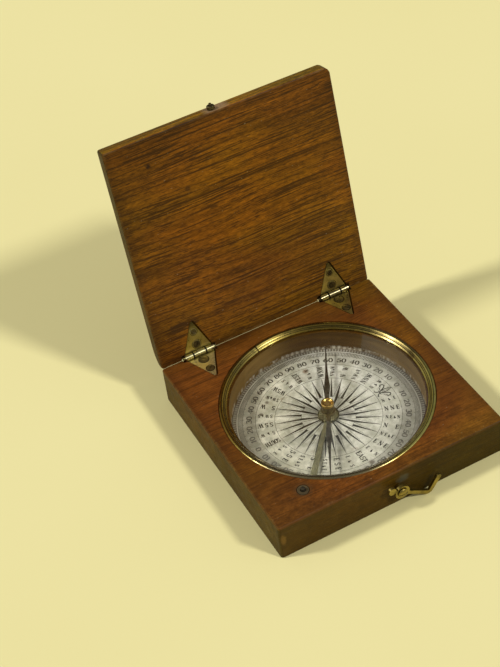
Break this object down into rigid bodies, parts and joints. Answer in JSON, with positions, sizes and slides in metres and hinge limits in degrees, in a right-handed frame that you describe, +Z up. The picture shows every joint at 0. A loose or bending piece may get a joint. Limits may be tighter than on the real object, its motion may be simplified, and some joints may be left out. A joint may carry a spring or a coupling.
{
  "type": "pocket compass",
  "caption": "Square wooden pocket compass with a hinged lid, hook latch, printed card under glass, and a needle that the shut lid lifts off its pivot.",
  "frame": {"origin": "centre of the case's flat underside", "axes": "+X along the hinge, to the right seen from the latch side; +Y towards the hinge; +Z up"},
  "size_m": [0.08, 0.1049, 0.0934],
  "materials": {
    "mahogany": "old varnish, satin",
    "aged_brass": "worn, dulled",
    "dark_brass": "darkened",
    "dark_steel": "darkened",
    "blued_steel": "blued",
    "printed_card": "matt print",
    "clear_glass": "clear",
    "agate": "polished"
  },
  "bodies": {
    "case": {"case_base": "mahogany", "dial_card": "printed_card", "pivot_post": "aged_brass", "pivot_point": "dark_steel", "glass": "clear_glass", "bezel_ring": "aged_brass", "pin_bush": "dark_brass", "fulcrum_pin": "dark_steel", "case_leaf_left": "aged_brass", "case_leaf_right": "aged_brass", "hinge_pin_left": "aged_brass", "hinge_pin_right": "aged_brass", "hook_screw": "aged_brass", "hook_collar": "aged_brass", "case_screw_left_inner": "dark_brass", "case_screw_left_outer": "dark_brass", "case_screw_right_inner": "dark_brass", "case_screw_right_outer": "dark_brass"},
    "lid": {"lid_board": "mahogany", "lid_leaf_left": "aged_brass", "lid_leaf_right": "aged_brass", "catch_stud": "aged_brass", "lid_screw_left_inner": "dark_brass", "lid_screw_left_outer": "dark_brass", "lid_screw_right_inner": "dark_brass", "lid_screw_right_outer": "dark_brass"},
    "hook": {"latch_hook": "aged_brass"},
    "lock_pin": {"lock_pin": "dark_steel"},
    "lever": {"lifter_lever": "dark_brass"},
    "needle": {"needle": "blued_steel", "needle_cap": "aged_brass", "cap_jewel": "agate"}
  },
  "joints": [
    {"name": "lid_hinge", "type": "hinge", "parent": "case", "child": "lid", "pos_m": [0, 0.0396, 0.01445], "axis": [1, 0, 0], "range_deg": [0, 102.2]},
    {"name": "hook_pivot", "type": "hinge", "parent": "case", "child": "hook", "pos_m": [0.0013, -0.0421, 0.00685], "axis": [0, -1, 0], "range_deg": [0, 122.5]},
    {"name": "lock_pin_slide", "type": "slide", "parent": "case", "child": "lock_pin", "axis": [0, 0, -1], "range_m": [0, 0.000186]},
    {"name": "lever_rock", "type": "hinge", "parent": "case", "child": "lever", "pos_m": [-0.02205, -0.02584, 0.005], "axis": [0.7581, -0.6521, 0], "range_deg": [0, 1.66]},
    {"name": "needle_spin", "type": "hinge", "parent": "lever", "child": "needle", "pos_m": [-0.0006, -0.0009, 0.0078], "axis": [0, 0, 1], "continuous": true}
  ],
  "couplings": [
    {"joint": "lock_pin_slide", "follows": "lid_hinge", "m_per_rad": 0.0001036},
    {"joint": "lever_rock", "follows": "lid_hinge", "ratio": 0.016184}
  ]
}
